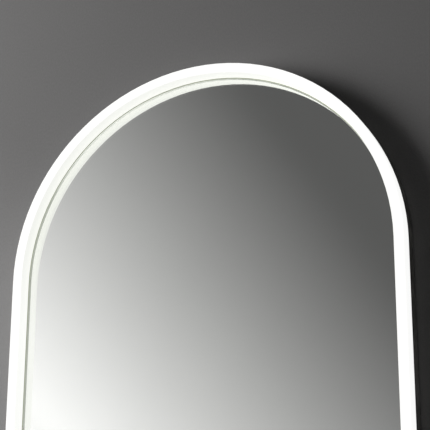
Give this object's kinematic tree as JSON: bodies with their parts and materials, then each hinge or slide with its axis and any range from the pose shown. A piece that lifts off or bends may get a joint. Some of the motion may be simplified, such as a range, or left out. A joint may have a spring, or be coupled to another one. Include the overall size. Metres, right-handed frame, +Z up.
{
  "type": "lighted bathroom mirror",
  "caption": "Tall capsule-shaped wall mirror: a recessed silvered glass inside a glowing opal ring, on a slim metal frame that lifts off a wall rail.",
  "frame": {"origin": "on the wall, midway between the two screw holes of the wall rail", "axes": "+X to the right seen from the front, +Y into the wall, +Z up; the mirror faces -Y"},
  "size_m": [0.6, 0.047, 1.2029],
  "materials": {
    "opal_light": "satin opal acrylic, lit from inside",
    "strip_board": "white flexible circuit board",
    "led_phosphor": "yellow phosphor in white housings",
    "satin_frame": "satin anodised",
    "rail_aluminium": "mill finish",
    "zinc_steel": "zinc plated",
    "dark_screw": "black oxide",
    "spring_steel": "drawn wire",
    "mirror_glass": "clear float glass, polished, with a ground edge",
    "silver_coat": "silvered, painted on the back",
    "dark_seal": "dark olive grey, matt",
    "backing_film": "translucent film",
    "foam_tape": "closed-cell foam",
    "heater_film": "amber polyimide film",
    "pan_steel": "galvanised sheet, light spangle",
    "black_rubber": "matt",
    "case_plastic": "fine moulded texture",
    "box_plastic": "fine moulded texture",
    "black_plastic": "fine moulded texture",
    "clip_plastic": "natural nylon",
    "clear_plastic": "natural polyamide",
    "circuit_board": "green solder mask",
    "brass_screw": "turned",
    "button_metal": "fine brushed",
    "lead_jacket": "smooth white jacket",
    "earth_jacket": "green with a yellow stripe"
  },
  "bodies": {
    "wall_side": {"wall_rail": "rail_aluminium"},
    "mirror": {"light_diffuser": "opal_light", "led_strip": "strip_board", "led_chips": "led_phosphor", "upper_frame": "satin_frame", "lower_frame": "satin_frame", "frame_joint_plates": "zinc_steel", "joint_grub_screws": "dark_screw", "mirror_glass": "mirror_glass", "silver_layer": "silver_coat", "glass_seal": "dark_seal", "safety_film": "backing_film", "glass_tapes": "foam_tape", "demister_pad": "heater_film", "back_pan": "pan_steel", "pan_screws": "zinc_steel", "hanger_rail": "zinc_steel", "hanger_rivets": "rail_aluminium", "wall_bumpers": "black_rubber", "bumper_screws": "zinc_steel", "driver_case": "case_plastic", "driver_lid": "case_plastic", "driver_board": "circuit_board", "terminal_box": "box_plastic", "terminal_box_cover": "box_plastic", "terminal_block": "clear_plastic", "terminal_screws": "brass_screw", "case_screws": "zinc_steel", "lid_screws": "zinc_steel", "mains_grommet": "black_rubber", "pan_grommet": "black_rubber", "switch_bezel": "satin_frame", "switch_nut": "brass_screw", "switch_body": "black_plastic", "button_spring": "spring_steel", "mains_lead": "lead_jacket", "led_lead": "lead_jacket", "demister_lead": "lead_jacket", "switch_lead": "lead_jacket", "earth_lead": "earth_jacket", "cable_clips": "clip_plastic", "earth_tag": "zinc_steel", "earth_screw": "zinc_steel"},
    "button": {"button_cap": "button_metal"}
  },
  "joints": [
    {"name": "lift_off", "type": "slide", "parent": "wall_side", "child": "mirror", "axis": [0, 0, 1], "range_m": [0, 0.012]},
    {"name": "button_press", "type": "slide", "parent": "mirror", "child": "button", "axis": [0, 0, 1], "range_m": [0, 0.0015], "stiffness_N_per_m": 400, "springref_m": -0.004, "deforming": ["button_spring"]}
  ]
}
